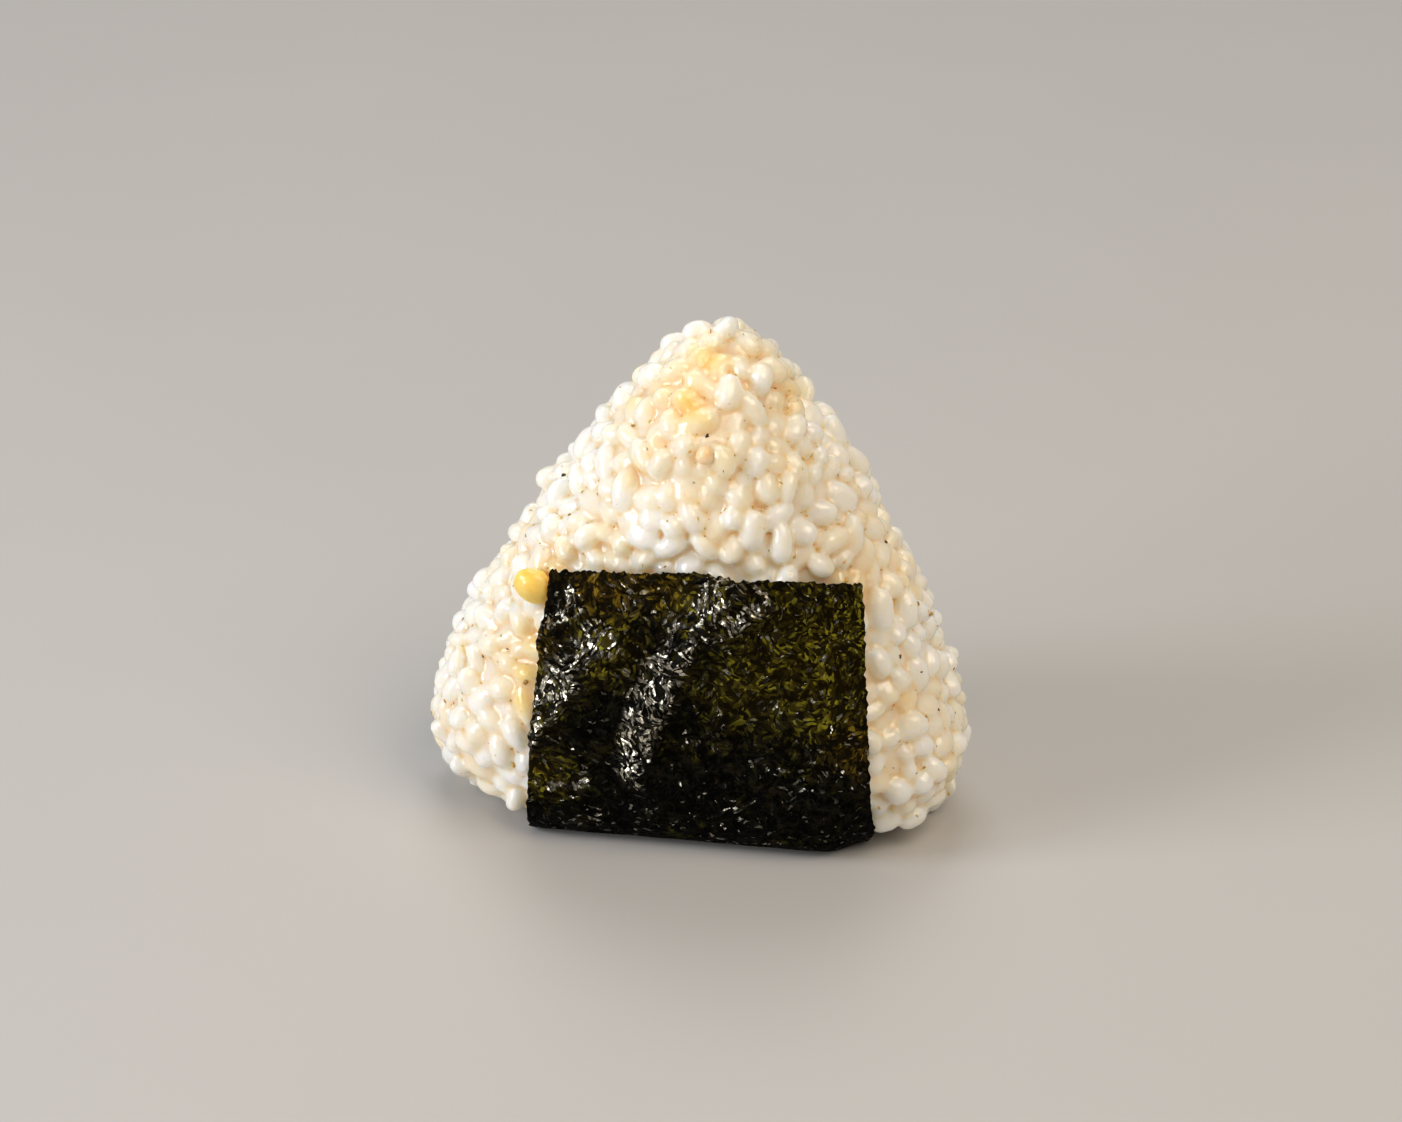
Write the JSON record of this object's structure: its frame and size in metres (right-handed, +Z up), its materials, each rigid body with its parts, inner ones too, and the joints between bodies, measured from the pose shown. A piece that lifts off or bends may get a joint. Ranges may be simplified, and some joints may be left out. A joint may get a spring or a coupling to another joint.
{
  "type": "onigiri rice ball",
  "caption": "Hand-pressed triangle of seasoned cooked rice standing on one side, with a strip of dried seaweed wrapped up its front, under its base and up its back.",
  "frame": {"origin": "on the ground under the middle of the object's box", "axes": "+Z up, +X along the rice triangle's base to the viewer's right when its front is faced, front towards -Y"},
  "size_m": [0.0803, 0.0419, 0.0733],
  "materials": {
    "rice": "moist, plump, half-clear cooked short grains, cream to white, with warm tan gaps and small brown flecks",
    "nori": "dried seaweed sheet, near black with olive mottling, finely wrinkled, glossy on its creases"
  },
  "bodies": {
    "root": {"rice": "rice", "nori": "nori"}
  },
  "joints": []
}
